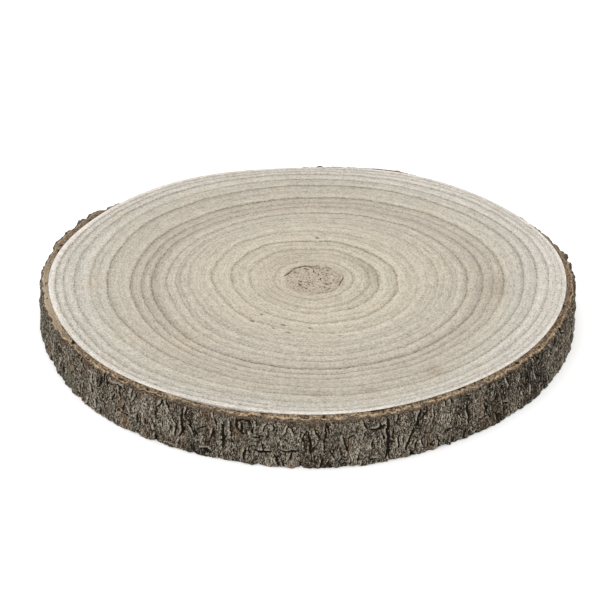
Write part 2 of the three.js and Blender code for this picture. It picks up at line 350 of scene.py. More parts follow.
class Socket:
    """An output of a material's nodes. Arithmetic on it adds Math nodes, and colours mix and scale."""

    def __init__(self, tree, output=None):
        self.tree = tree
        self.output = output

    def node(self, kind, settings, inputs, output=0):
        """Any node: its settings are set first, then each input gets its value or link."""
        made = self.tree.nodes.new(kind)
        for name, value in settings.items():
            if name == "stops":
                self.set_stops(made.color_ramp, value)
            else:
                setattr(made, name, value)
        for name, value in inputs.items():
            if isinstance(value, Socket):
                self.tree.links.new(value.output, made.inputs[name])
            else:
                made.inputs[name].default_value = value
        return Socket(self.tree, made.outputs[output])

    @staticmethod
    def set_stops(ramp, stops):
        """Gives a ramp one stop for each place and colour, and no others."""
        while len(ramp.elements) < len(stops):
            ramp.elements.new(1)
        for element, (place, colour) in zip(ramp.elements, stops):
            element.position = place
            element.color = colour

    def math(self, operation, *values):
        """A Math node on the values given."""
        return self.node("ShaderNodeMath", {"operation": operation}, dict(enumerate(values)))

    def __add__(self, other):
        return self.math("ADD", self, other)

    def __sub__(self, other):
        return self.math("SUBTRACT", self, other)

    def __rsub__(self, other):
        return self.math("SUBTRACT", other, self)

    def __mul__(self, other):
        return self.math("MULTIPLY", self, other)

    __radd__ = __add__
    __rmul__ = __mul__

    def between(self, low, high):
        """0 below the low value, 1 above the high one, eased between them."""
        settings = {"interpolation_type": "SMOOTHSTEP"}
        return self.node("ShaderNodeMapRange", settings, {"Value": self, "From Min": low, "From Max": high})

    def at_least(self, least):
        """This value, or the least one where it is lower."""
        return self.math("MAXIMUM", self, least)

    def toward(self, colour, share):
        """This colour mixed towards another by a share."""
        inputs = {0: share, 6: self, 7: colour}
        return self.node("ShaderNodeMix", {"data_type": "RGBA"}, inputs, output=2)

    def scaled(self, factor):
        """This colour or vector times a number."""
        return self.node("ShaderNodeVectorMath", {"operation": "SCALE"}, {0: self, "Scale": factor})

    def attribute(self, name):
        """A number that the mesh carries at each of its points."""
        return self.node("ShaderNodeAttribute", {"attribute_name": name}, {}, output="Fac")

    def noise(self, vector, size, detail=2.0, roughness=0.5):
        """Noise round zero, from about -0.5 to 0.5, with features of the given size."""
        inputs = {"Vector": vector, "Scale": 1 / size, "Detail": detail, "Roughness": roughness}
        return self.node("ShaderNodeTexNoise", {}, inputs) - 0.5

    def feeds(self, shader, name):
        """Links this output to one of the shader's inputs."""
        self.tree.links.new(self.output, shader.inputs[name])


def colour(red, green, blue):
    """A colour as it looks on screen, 0 to 255 a channel, as the linear colour that shaders use."""
    screen = np.array([red, green, blue]) / 255
    linear = np.where(screen <= 0.04045, screen / 12.92, ((screen + 0.055) / 1.055) ** 2.4)
    return (*linear.tolist(), 1.0)


def new_material(name):
    """An empty material, as its tree's socket to build on, its shader and itself."""
    material = bpy.data.materials.new(name)
    material.use_nodes = True
    tree = material.node_tree
    shader = tree.nodes["Principled BSDF"]
    return Socket(tree), shader, material


def sawn_wood_material():
    """Sanded wood: colour zones from pith to bark, brown late wood and broken dark lines at each ring,
    grain that follows the rings, faint rays, open pores, and a speckled pith whose tears are painted
    dark as shade."""
    make, shader, material = new_material("sawn wood")
    place = make.node("ShaderNodeTexCoord", {}, {}, output="Object")
    age = make.attribute("age")
    tear = make.attribute("tear")
    zone = make.attribute("zone") + 0.06 * make.noise(place, 40 * MM, 2)

    stops = (
        (0.00, colour(194, 180, 160)),
        (0.105, colour(191, 177, 157)),
        (0.128, colour(203, 193, 173)),
        (0.30, colour(204, 195, 176)),
        (0.55, colour(202, 194, 178)),
        (0.64, colour(191, 182, 167)),
        (0.74, colour(194, 186, 171)),
        (0.84, colour(202, 196, 182)),
        (0.93, colour(208, 203, 192)),
        (0.985, colour(214, 208, 198)),
        (1.00, colour(228, 221, 212)),
    )
    base = make.node("ShaderNodeValToRGB", {"stops": stops}, {0: zone})

    flat = make.node("ShaderNodeVectorMath", {"operation": "MULTIPLY"}, {0: place, 1: (1, 1, 0)})
    to_pith = {0: flat, 1: (*PITH_CENTRE, 0)}
    from_pith = make.node("ShaderNodeVectorMath", {"operation": "SUBTRACT"}, to_pith)
    direction = make.node("ShaderNodeVectorMath", {"operation": "NORMALIZE"}, {0: from_pith})
    along = make.node("ShaderNodeSeparateXYZ", {}, {0: flat}, output=0)
    across = make.node("ShaderNodeSeparateXYZ", {}, {0: flat}, output=1)
    depth = age * MEAN_RADIUS

    def ringwise(squeeze):
        """Places for grain that is drawn out along the rings: both ways across the face are squeezed, and
        the way outwards is the age at its true size."""
        return make.node("ShaderNodeCombineXYZ", {}, {0: along * squeeze, 1: across * squeeze, 2: depth})

    mottle = make.noise(place, 22 * MM, 3)
    blotch = make.noise(place, 3.5 * MM, 2)
    growth = make.noise(ringwise(0.03), 2.4 * MM, 2, 0.6)
    grain = make.noise(ringwise(0.12), 0.9 * MM, 3, 0.65)
    rays = make.noise(direction, 0.012, 3, 0.6)
    speckle = make.noise(place, 0.9 * MM, 1, 0.6)
    fleck = make.noise(ringwise(0.4), 0.75 * MM, 1, 0.6)
    shade = 1 + 0.12 * mottle + 0.2 * blotch + 0.7 * grain + 0.2 * rays + 0.8 * speckle + 1.1 * fleck
    shade = shade + 0.35 * growth - 0.21 * make.attribute("season")
    stain = make.attribute("stain")
    wood = base.toward(colour(196, 176, 150), 0.3 * mottle.between(0.0, 0.3))
    wood = wood.toward(colour(152, 130, 106), 0.45 * stain.at_least(0))
    wood = wood.toward(colour(214, 207, 190), 0.6 * (0 - stain).at_least(0))
    wood = wood.scaled(0.85 * shade)

    bead = make.noise(place, 1.1 * MM, 1, 0.6)
    off, shows = make.attribute("off"), make.attribute("shows")
    patchy = 5.2 - 1.8 * age.between(0.3, 0.75)
    line = shows * (1 - (off + patchy * bead).between(-0.15, 0.55))
    wood = wood.toward(colour(138, 120, 96), 0.34 * shows * (1 - (off + 2 * blotch).between(0.2, 2.4)))
    wood = wood.toward(colour(78, 67, 52), 0.64 * line)
    dash = fleck.between(0.13, 0.22)
    wood = wood.toward(colour(116, 103, 84), 0.55 * dash)

    cells = make.node("ShaderNodeTexVoronoi", {}, {"Vector": place, "Scale": 1 / (1.7 * MM)})
    open_pore = (1 - cells.between(0.12, 0.28)) * make.noise(place, 4 * MM, 2).between(0.0, 0.15)
    wood = wood.toward(colour(88, 75, 60), 0.6 * open_pore)

    in_pith = 1 - (age + 0.04 * blotch).between(PITH_AGE - 0.012, PITH_AGE + 0.004)
    crowded = 0.35 + 0.65 * make.noise(place, 6 * MM, 1).between(-0.15, 0.1)
    specks = make.noise(place, 1.3 * MM, 1, 0.7).between(0.05, 0.13) * in_pith * crowded
    wood = wood.toward(colour(44, 32, 23), 0.95 * specks)
    wood = wood.toward(colour(40, 30, 22), 0.9 * make.attribute("pit"))
    # The pith's tears: browned on their shallow sides, and painted near black in their depths as shade.
    wood = wood.toward(colour(112, 92, 70), 0.5 * tear.between(0.02, 0.2))
    wood = wood.toward(colour(30, 22, 15), (tear + 0.5 * bead).between(0.22, 0.55))

    relief = 0.4 * grain + 0.5 * speckle - 0.4 * open_pore - 0.8 * specks
    bump = make.node("ShaderNodeBump", {}, {"Strength": 0.25, "Distance": 0.3 * MM, "Height": relief})
    roughness = 0.72 + 0.2 * speckle
    wood.feeds(shader, "Base Color")
    roughness.feeds(shader, "Roughness")
    bump.feeds(shader, "Normal")
    shader.inputs["Specular IOR Level"].default_value = WOOD_SHINE
    return material


wood = wood_disc()
wood.data.materials.append(sawn_wood_material())
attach(wood, "root")
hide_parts("wood_disc")

# The bark.
# A ring of bark that grew round the wood and dried a hair away from it: a tan inner layer that shows on
# the sloping upper edge, and outside it grey flaky cork, split by fissures and cracks up the trunk.

BARK_COLUMNS = 1740
BARK_ROWS = 41
RIM_ROWS = 11
BARK_THICKNESS = 5.9 * MM
# Each wave: swells round the trunk, their height, and the direction in degrees where one peaks.
BARK_WAVES = ((2, 0.4 * MM, 105), (3, 0.8 * MM, 24))
# The gap to the wood, and where the bark has lifted: a direction, a half width in degrees, and how far.
BARK_GAP = 0.08 * MM
BARK_LIFT = (-108, 9, 0.8 * MM)
FOOT_FLARE = 0.8 * MM
FOOT_CHIPS = 0.5 * MM
RIM_SLOPE = 2 * MM
RIM_INNER_DROP = 0.1 * MM
RIM_ROUNDING = 0.6 * MM
RIM_ROUNDING_LENGTH = 0.8 * MM
RIM_DEPTH = 6 * MM
# Each chip: where a piece of the upper edge has come off, from and to in degrees, and how deep.
RIM_CHIPS = ((8, 60, 2.4 * MM), (95, 145, 3 * MM))
RIM_CHIP_RAMP = 7
# Each knob of thicker bark: its direction, its half width in degrees, and how far it stands out and up.
KNOBS = (
    (148.5, 2.0, 1.6 * MM, 1.0 * MM),
    (153.5, 2.2, 2.0 * MM, 0.9 * MM),
    (158.5, 2.0, 1.5 * MM, 0.6 * MM),
    (163.5, 2.4, 1.2 * MM, 0.4 * MM),
    (12.0, 2.0, 0.3 * MM, 1.3 * MM),
    (8.0, 1.6, 0.2 * MM, 0.8 * MM),
)
# The tan layer's share of the rim, and where it is wider: a direction, a half width in degrees, and by how
# much.
TAN_SHARE = 0.58
TAN_WIDER = ((-168, 30, 0.34), (-22, 24, 0.28), (90, 60, 0.15))
# Where the rim is greyer and darker, where it is paler or, if below zero, browner, and where painted shade
# darkens the gap along the wood: a direction, a half width in degrees, and how much.
RIM_GREYER = ((128, 40, 0.8), (12, 22, 0.5))
RIM_PALER = ((-172, 16, 1.0), (-20, 26, -1.0))
RIM_GAP_SHADE = ((BARK_LIFT[0], BARK_LIFT[1], 0.8), (-75, 40, 0.3))
FISSURES = 120
FISSURE_STRAY = 0.8
FISSURE_DEPTH = (0.4 * MM, 1.2 * MM)
FISSURE_HALF_WIDTH = (1.0 * MM, 1.8 * MM)
FISSURE_SWAY = (0.6 * MM, 2.4 * MM)
FISSURE_SWAY_LENGTH = (22 * MM, 48 * MM)
FISSURE_REACH = (9 * MM, 30 * MM)
PLATE_BULGE = 0.45 * MM
PLATE_LENGTH = 17 * MM
FLAKE_CELL = (3.4 * MM, 9.0 * MM)
# How far each form stands out of the bark or is cut into it, and how far in the whole face is drawn, which
# keeps the highest forms within the bark's thickness.
FLAKE_OUT = 0.35 * MM
FLAKE_TILT = 0.3 * MM
FLAKE_EDGE = 0.2 * MM
LIP_OUT = 0.35 * MM
STRAND_OUT = 0.4 * MM
CRUMB_OUT = 0.2 * MM
NOTCH_DEPTH = 0.7 * MM
DRAWN_IN = 0.7 * MM
# Each main crack: its direction in degrees, the height of its middle, its half length, its half width, and
# how far it tilts from upright, in degrees.
MAIN_CRACKS = (
    (-138.0, 22.0 * MM, 4 * MM, 0.6 * MM, 10),
    (-132.4, 22.5 * MM, 4 * MM, 0.6 * MM, -8),
    (-127.4, 12.0 * MM, 4 * MM, 0.5 * MM, 0),
    (-116.6, 17.5 * MM, 10 * MM, 0.6 * MM, 6),
    (-109.2, 24.0 * MM, 4 * MM, 0.5 * MM, -5),
    (-107.2, 15.5 * MM, 9 * MM, 0.55 * MM, 3),
    (-99.0, 9.0 * MM, 5 * MM, 0.6 * MM, 88),
    (-96.2, 4.0 * MM, 4 * MM, 0.5 * MM, -25),
    (-93.2, 10.5 * MM, 4.5 * MM, 0.55 * MM, 75),
    (-89.3, 15.5 * MM, 7 * MM, 0.6 * MM, -6),
    (-86.3, 20.0 * MM, 7 * MM, 0.4 * MM, 2),
    (-82.4, 15.0 * MM, 5 * MM, 0.4 * MM, -14),
    (-75.6, 22.0 * MM, 4.5 * MM, 0.7 * MM, 80),
    (-73.4, 14.0 * MM, 14 * MM, 0.65 * MM, -3),
    (-68.4, 12.5 * MM, 6 * MM, 0.5 * MM, 24),
    (-66.6, 23.0 * MM, 5 * MM, 0.55 * MM, 3),
    (-67.2, 7.0 * MM, 4 * MM, 0.5 * MM, 12),
    (-62.8, 24.0 * MM, 5 * MM, 0.5 * MM, 0),
    (-59.8, 9.5 * MM, 3 * MM, 0.6 * MM, 80),
    (-54.5, 15.0 * MM, 7 * MM, 0.6 * MM, -8),
    (-49.8, 14.0 * MM, 6 * MM, 0.5 * MM, 2),
    (-44.5, 11.0 * MM, 8 * MM, 0.7 * MM, -10),
    (-43.0, 21.0 * MM, 6 * MM, 0.5 * MM, -14),
)
# The small cracks between them, the least and most of their half lengths and half widths, how far they
# tilt in degrees, and the share of them that lie across the trunk, with their tilt.
SMALL_CRACKS = 460
SMALL_CRACK_LENGTH = (1.2 * MM, 4.5 * MM)
SMALL_CRACK_WIDTH = (0.28 * MM, 0.52 * MM)
SMALL_CRACK_TILT = 14
SMALL_CRACKS_LYING = 0.12
LYING_TILT = 85
CRACK_DEPTH = 0.6 * MM
# A crack's slow and quick wander to the side, the columns on each side that it can reach, and the value
# that stands for no crack near.
CRACK_WANDER = (1.0 * MM, 0.6 * MM)
CRACK_COLUMNS = 18
NO_CRACK = 3.0
# How light the bark is, from near black at 0 to pale grey at 1, and where a whole side has painted shade,
# darker as if turned from the light: a direction, a half width in degrees, and by how much.
BARK_TONE = 0.38
PAINTED_SHADE_SIDE = ((-32, 26, 0.16),)
# Each patch of darker bark, or paler if below zero: its direction, its height, its half width and half
# height, and its strength.
BARK_PATCHES = (
    (-105.2, 22.5 * MM, 2.5 * MM, 3.0 * MM, 0.28),
    (-113.0, 3.0 * MM, 14 * MM, 3.5 * MM, 0.22),
    (-123.0, 5.0 * MM, 6 * MM, 3.5 * MM, 0.26),
    (-115.0, 17.0 * MM, 3 * MM, 8.0 * MM, 0.20),
    (-98.0, 10.0 * MM, 9 * MM, 3.0 * MM, 0.16),
    (-75.8, 22.5 * MM, 6 * MM, 3.0 * MM, 0.26),
    (-138.0, 20.0 * MM, 5 * MM, 5.0 * MM, 0.20),
    (-86.0, 2.0 * MM, 9 * MM, 3.0 * MM, 0.15),
    (-44.0, 11.0 * MM, 5 * MM, 9.0 * MM, 0.18),
    (-34.0, 15.0 * MM, 12 * MM, 14.0 * MM, 0.12),
    (-126.0, 14.0 * MM, 7 * MM, 8.0 * MM, -0.10),
    (-104.0, 11.0 * MM, 9 * MM, 6.0 * MM, -0.08),
    (-81.0, 14.0 * MM, 14 * MM, 9.0 * MM, -0.08),
)
SCAR_AT = (-103, 23.5 * MM)
SCAR_SIZE = (3.6 * MM, 4.0 * MM)
SCAR_CRACK = 0.5 * MM
SCAR_LIP = 1.0 * MM
SCAR_FLOOR = 1.6 * MM
BARK_SHINE = 0.05


def scatter(index, trait):
    """A repeatable draw between 0 and 1 for a numbered fissure and one of its traits: the fraction of a
    large sine, in the way that the bark's solid draws it."""
    large = 43758.5453 * np.sin(index * 12.9898 + trait * 78.233)
    return large - np.floor(large)


def scatter_between(limits, index, trait):
    """The same draw, spread between a least and a most value."""
    return limits[0] + (limits[1] - limits[0]) * scatter(index, trait)


def by_direction(swells, angle):
    """The sum of bells round the ring, each with its direction, its half width and its height."""
    return sum(height * bell(turn_from(at, angle), half_width) for at, half_width, height in swells)


def fissure_depth(angle, height, girth):
    """Depth of the deepest fissure at each place. A fissure sways on a sine as it climbs, is a bell in
    section, and fades out above and below its own middle."""
    deepest = np.zeros(height.shape)
    for index in range(FISSURES):
        stray = FISSURE_STRAY * (scatter(index, 1) - 0.5)
        phase = height / scatter_between(FISSURE_SWAY_LENGTH, index, 3) + scatter(index, 4)
        sway = scatter_between(FISSURE_SWAY, index, 2) * np.sin(TURN * phase)
        middle = np.degrees((index + stray) * TURN / FISSURES + sway / girth)
        across = np.radians(turn_from(middle, angle)) * girth
        along = height - THICKNESS * scatter(index, 6)
        run = bell(along, scatter_between(FISSURE_REACH, index, 7), 4)
        depth = scatter_between(FISSURE_DEPTH, index, 8) * run
        deepest = np.maximum(deepest, depth * bell(across, scatter_between(FISSURE_HALF_WIDTH, index, 5)))
    return deepest


def flakes(angle, height, girth, cell, seed):
    """A jigsaw of upright flakes: each place belongs to the nearest of a jittered grid of centres, in
    units of the cell. Gives the gap to the next flake's edge, each flake's own random number, and how far
    up its flake a place lies."""
    draw = np.random.default_rng(seed)
    around = int(round(TURN * girth / cell[0]))
    climb = int(np.ceil(THICKNESS / cell[1])) + 3
    jitter = draw.uniform(-0.42, 0.42, (2, around, climb))
    lift = draw.uniform(0, 1, around)
    number = draw.uniform(0, 1, (around, climb))
    u = (angle / TURN * around) % around
    v = height / cell[1] + 1
    nearest = np.full(u.shape, 9.0)
    second = np.full(u.shape, 9.0)
    owner = np.zeros(u.shape)
    up = np.zeros(u.shape)
    for step in range(-2, 3):
        column = (np.floor(u).astype(int) + step) % around
        level = np.floor(v - lift[column]).astype(int)
        for rise in (-1, 0, 1):
            row = np.clip(level + rise, 0, climb - 1)
            to_u = np.floor(u) + step + 0.5 + jitter[0, column, row] - u
            to_v = level + rise + 0.5 + jitter[1, column, row] + lift[column] - v
            far = np.hypot(to_u, to_v)
            closer = far < nearest
            second = np.where(closer, nearest, np.minimum(second, far))
            owner = np.where(closer, number[column, row], owner)
            up = np.where(closer, -to_v, up)
            nearest = np.where(closer, far, nearest)
    return (second - nearest) * cell[0], owner, up


def bark_cracks(angle, height, girth):
    """Every crack is a crooked line that narrows to nothing at both ends. Gives how far off the nearest one
    each place lies, as a share of its half width there, and the thin lip along its left side; the material
    paints the crack near black as shade and the lip pale as a highlight."""
    off = np.full(height.shape, NO_CRACK)
    lip = np.zeros(height.shape)
    draw = np.random.default_rng(61)
    middles = draw.uniform(0, THICKNESS, SMALL_CRACKS)
    half_lengths = draw.uniform(*SMALL_CRACK_LENGTH, SMALL_CRACKS)
    half_widths = draw.uniform(*SMALL_CRACK_WIDTH, SMALL_CRACKS)
    tilts = draw.normal(0, SMALL_CRACK_TILT, SMALL_CRACKS)
    tilts = tilts + LYING_TILT * (draw.uniform(0, 1, SMALL_CRACKS) < SMALL_CRACKS_LYING)
    directions = (np.arange(SMALL_CRACKS) + draw.uniform(0, 1, SMALL_CRACKS)) * 360 / SMALL_CRACKS
    small = np.stack([directions, middles, half_lengths, half_widths, tilts], 1)
    reach = np.arange(-CRACK_COLUMNS, CRACK_COLUMNS + 1)
    for index, crack in enumerate(np.vstack([MAIN_CRACKS, small])):
        direction, middle, half_length, half_width, tilt = crack
        near = (int(direction / 360 * BARK_COLUMNS) + reach) % BARK_COLUMNS
        climb = height[:, near] - middle
        turned = np.radians(turn_from(direction, angle[near])) * girth
        along = climb * np.cos(np.radians(tilt)) + turned * np.sin(np.radians(tilt))
        across = turned * np.cos(np.radians(tilt)) - climb * np.sin(np.radians(tilt))
        across = across - CRACK_WANDER[0] * lattice_noise(along / (5 * MM), index + 0.5, 0.5, 62)
        across = across - CRACK_WANDER[1] * lattice_noise(along / (1.9 * MM), index + 0.5, 0.5, 63)
        taper = np.sqrt(np.clip(1 - (along / half_length) ** 2, 0, 1))
        taper = taper * (1.05 + 0.45 * lattice_noise(along / (2.5 * MM), index + 0.5, 0.5, 64))
        share = np.abs(across) / np.maximum(half_width * taper, 0.05 * MM)
        off[:, near] = np.minimum(off[:, near], share)
        beside = bell(across + half_width + 0.5 * MM, 0.5 * MM) * ease(taper, 0.2, 0.7)
        lip[:, near] = np.maximum(lip[:, near], beside)
    return off, lip


def bark_ring():
    """The bark's skin, in section: up the inner wall, out over the sloping rim, down the furrowed
    outside, and back under the foot. The outside is the trunk's outline plus the bark's thickness, less
    its fissures and cracks, with flakes that stand out at their lower ends, lips and upright strands."""
    angle = np.arange(BARK_COLUMNS) * TURN / BARK_COLUMNS
    radius = rim_radius(angle)
    girth = radius.mean()
    lift_at, lift_span, lift_gap = BARK_LIFT
    lifted = bell(turn_from(lift_at, angle), lift_span)
    inner = radius + BARK_GAP + lift_gap * lifted
    thick = BARK_THICKNESS + np.zeros_like(angle)
    for swells, height, peak in BARK_WAVES:
        thick = thick + height * np.cos(swells * (angle - np.radians(peak)))
    chip = np.zeros_like(angle)
    for start, end, drop in RIM_CHIPS:
        away = np.abs(turn_from((start + end) / 2, angle)) - (end - start) / 2
        chip = np.maximum(chip, drop * (1 - ease(away, -RIM_CHIP_RAMP, RIM_CHIP_RAMP)))
    ring_x, ring_y = girth * np.cos(angle), girth * np.sin(angle)

    def ring_noise(size, seed):
        """Smooth noise round the ring, with swells of about the size."""
        return lattice_noise(ring_x / size, ring_y / size, 0 * angle, seed)

    upper = THICKNESS - RIM_SLOPE - chip
    for at, half_width, out, rise in KNOBS:
        thick = thick + out * bell(turn_from(at, angle), half_width)
        upper = upper + rise * bell(turn_from(at, angle), half_width)
    upper = upper + MM * (0.6 * ring_noise(4 * MM, 21) + 0.4 * ring_noise(1.6 * MM, 22))
    foot = FOOT_CHIPS * (1 + 0.7 * ring_noise(3.2 * MM, 23) + 0.3 * ring_noise(1.3 * MM, 26))
    inner_top = THICKNESS - RIM_INNER_DROP - 0.5 * chip

    share = np.linspace(0, 1, BARK_ROWS)[:, None]
    height = upper + (foot - upper) * share
    grid_x, grid_y = ring_x + 0 * height, ring_y + 0 * height

    def noise(around, climb, seed):
        """Smooth noise over the outside, with swells of about one size around and one size up."""
        return lattice_noise(grid_x / around, grid_y / around, height / climb, seed)

    sway = 1.5 * MM * noise(8 * MM, 12 * MM, 31) + 0.7 * MM * noise(2.5 * MM, 4 * MM, 32)
    bent_height = height + 2.0 * MM * noise(6 * MM, 7 * MM, 33)

    def strands(width, length, seed):
        """Smooth noise in upright strands, about so wide and long, that follow the bark's sway."""
        turned = angle + sway / girth
        strand_x, strand_y = girth * np.cos(turned), girth * np.sin(turned)
        return lattice_noise(strand_x / width, strand_y / width, bent_height / length, seed)

    bulge = np.sin(33 * angle + np.sin(7 * angle)) * np.cos(TURN * height / PLATE_LENGTH + 44 * angle)
    cut = fissure_depth(angle + 0 * height, height, girth)
    gap, flake, up = flakes(angle + sway / girth, bent_height, girth, FLAKE_CELL, 41)
    edge = bell(gap, 0.4 * MM) * ease(strands(5 * MM, 9 * MM, 36), -0.2, 0.4)
    crack_off, crack_lip = bark_cracks(angle, height, girth)
    crack = 1 - ease(crack_off, 0.8, 1.6)
    lip = crack_lip * (1 - crack) * ease(strands(3 * MM, 6 * MM, 37), -0.5, 0.3)
    strand = strands(1.5 * MM, 6 * MM, 35)
    crumb = noise(0.9 * MM, 1.3 * MM, 38)
    notch = ease(noise(4.2 * MM, 8 * MM, 34), 0.1, 0.7)

    scar_u = np.radians(turn_from(SCAR_AT[0], angle)) * girth / SCAR_SIZE[0] + 0 * height
    scar_out = np.hypot(scar_u, (height - SCAR_AT[1]) / SCAR_SIZE[1])
    scar_lip, scar_floor = bell(scar_out - 1, 0.45), bell(scar_out, 0.55)
    scar_crack = np.abs(scar_out - 1 + 0.15 * strand) * SCAR_SIZE[0] / SCAR_CRACK
    crack_off = np.minimum(crack_off, scar_crack + 1.2 * ease(strand, 0.1, 0.5))

    relief = PLATE_BULGE * bulge + SCAR_LIP * scar_lip - SCAR_FLOOR * scar_floor - cut
    relief = relief - CRACK_DEPTH * crack - FLAKE_EDGE * edge - NOTCH_DEPTH * notch - DRAWN_IN
    relief = relief + LIP_OUT * lip + FLAKE_OUT * flake - FLAKE_TILT * up
    relief = relief + STRAND_OUT * strand + CRUMB_OUT * crumb
    rounding = RIM_ROUNDING * np.exp(-(upper - height) / RIM_ROUNDING_LENGTH)
    outer = radius + thick + FOOT_FLARE * share + relief - rounding

    rim_share = np.linspace(0, 1, RIM_ROWS + 1)[:-1, None]
    rim_radius_row = inner + (outer[0] - inner) * rim_share
    rim_x, rim_y = rim_radius_row * np.cos(angle), rim_radius_row * np.sin(angle)
    crumbs = lattice_noise(rim_x / (2.1 * MM), rim_y / (2.1 * MM), 0 * rim_x, 24)
    layers = lattice_noise(ring_x / (7 * MM), ring_y / (7 * MM), rim_share * 7, 25)
    rim_height = inner_top + (upper - inner_top) * rim_share**1.2
    rim_height = rim_height - (0.1 + 0.9 * lifted) * MM * bell(rim_share, 0.09)
    rim_height = rim_height + MM * (0.25 * crumbs + 0.25 * layers) * np.sin(np.pi * rim_share) ** 0.5

    wall_levels = np.array([0.0, 0.5, 0.95])[:, None]
    wall_radius = inner + 0 * wall_levels
    wall_height = inner_top * wall_levels
    foot_share = np.array([0.25, 0.6])[:, None]
    foot_radius = outer[-1] + (inner - outer[-1]) * foot_share
    foot_height = foot * (1 - foot_share)

    row_radius = np.concatenate([wall_radius, rim_radius_row, outer, foot_radius])
    row_height = np.concatenate([wall_height, rim_height, height, foot_height])
    rows = np.stack([row_radius * np.cos(angle), row_radius * np.sin(angle), row_height], -1)

    tan_reach = TAN_SHARE + by_direction(TAN_WIDER, angle)
    past_tan = rim_share - tan_reach + 0.16 * layers + 0.14 * crumbs
    fringe = 3.2 * MM * ease(ring_noise(6 * MM, 27) + 0.5 * ring_noise(2 * MM, 28), 0.1, 0.9) + 0.3 * MM
    brown = 0.9 * (1 - ease((upper - height) / fringe + 0.4 * strand, 0.3, 1.2))
    # Painted shade: dark along the gap to the wood, most where the bark has lifted, and in the rim's low
    # crumbs.
    gap_shade = np.clip(0.2 + by_direction(RIM_GAP_SHADE, angle), 0, 1)
    rim_painted_shade = gap_shade * bell(rim_share, 0.1) + 0.7 * np.clip(-crumbs - layers - 0.4, 0, 1)
    # Painted shade: the tone is a little darker down in the fissures.
    tone = BARK_TONE + 0.08 * (flake - 0.5) - 0.06 * cut / FISSURE_DEPTH[1]
    tone = tone + 0.15 * strands(4 * MM, 15 * MM, 40) + 0.15 * strands(9 * MM, 40 * MM, 42)
    for at, middle, half_across, half_up, strength in BARK_PATCHES:
        turned = np.radians(turn_from(at, angle)) * girth / half_across
        tone = tone - strength * bell(np.hypot(turned, (height - middle) / half_up), 1)
    # Painted shade: one whole side of the bark is darkened, as if turned from the light.
    tone = tone - by_direction(PAINTED_SHADE_SIDE, angle)
    weathered = by_direction(RIM_GREYER, angle)
    pale = by_direction(RIM_PALER, angle)

    def along_section(wall, over_rim, outside, under):
        """One value, or a grid of them, for each stretch of the section, joined in the order of its rows."""
        spans = ((wall, wall_radius), (over_rim, rim_radius_row), (outside, height), (under, foot_radius))
        return np.concatenate([values + 0 * rows_there for values, rows_there in spans])

    attributes = {
        # Painted shade also on the inner wall, which faces the wood, and under the foot.
        "hollow": along_section(0.6, rim_painted_shade, 0.0, 0.3),
        "crack_off": along_section(NO_CRACK, NO_CRACK, crack_off, NO_CRACK),
        "lip": along_section(0.0, bell(past_tan + 0.08, 0.08), lip, 0.0),
        "tone": along_section(0.5, 0.5, tone, 0.5),
        "rim": along_section(1.0, 1 - ease(past_tan, -0.06, 0.08), 0.0, 0.4),
        "brown": along_section(1.0, 1.0, brown, 0.3),
        "across_rim": along_section(0.0, rim_share, 1.0, 0.5),
        "weathered": along_section(weathered, weathered, weathered, weathered),
        "pale": along_section(pale, pale, pale, pale),
    }
    return skin_mesh("bark", rows, attributes, capped=False)


